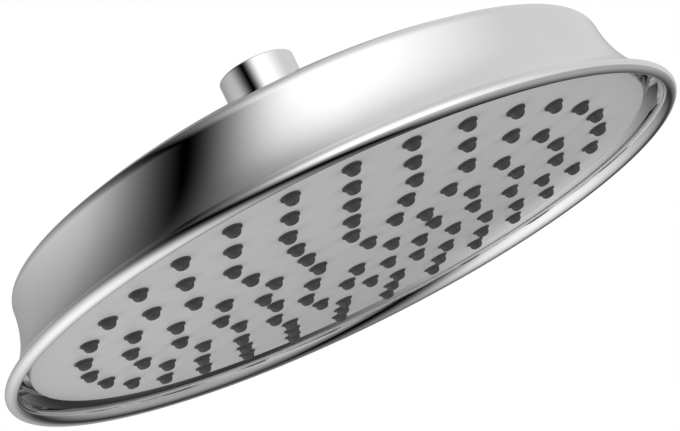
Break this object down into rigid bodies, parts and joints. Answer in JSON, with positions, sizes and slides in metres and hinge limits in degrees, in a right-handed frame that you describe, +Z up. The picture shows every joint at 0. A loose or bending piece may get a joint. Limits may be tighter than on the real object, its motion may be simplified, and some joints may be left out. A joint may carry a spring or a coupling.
{
  "type": "rain shower head",
  "caption": "Round overhead rain shower head: bell-shaped polished chrome housing with a rolled rim, domed grey spray face with soft rubber nozzles, and a round threaded inlet collar on top.",
  "frame": {"origin": "centre of the inlet thread's mouth, on the collar's top face", "axes": "+Z up along the inlet thread, the way the shower arm leaves; the spray face looks along -Z; X and Y are square to it, and the picture is taken from -Y"},
  "size_m": [0.254, 0.254, 0.0802],
  "materials": {
    "chrome_plate": "polished mirror chrome plate",
    "satin_face": "satin silver-grey moulded plastic",
    "nozzle_rubber": "soft dark grey silicone, dull",
    "seal_rubber": "black rubber, dull",
    "dark_plastic": "fine-textured dark moulded plastic",
    "pale_plastic": "smooth off-white moulded plastic",
    "brass": "machined brass, unplated",
    "bright_steel": "bright stainless steel"
  },
  "bodies": {
    "root": {"housing_shell": "chrome_plate", "rim_gasket": "seal_rubber", "face_plate": "satin_face", "nozzle_mat": "nozzle_rubber", "chamber_seal": "seal_rubber", "chamber_cover": "dark_plastic", "rim_screws": "bright_steel", "centre_screws": "bright_steel", "screw_seals": "seal_rubber", "inlet_neck": "brass", "neck_gasket": "seal_rubber", "neck_washer": "bright_steel", "neck_nut": "brass", "neck_ring": "seal_rubber", "collar_gasket": "seal_rubber", "inlet_collar": "chrome_plate", "inlet_washer": "seal_rubber", "inlet_screen": "bright_steel", "flow_regulator": "pale_plastic", "flow_ring": "seal_rubber"}
  },
  "joints": []
}
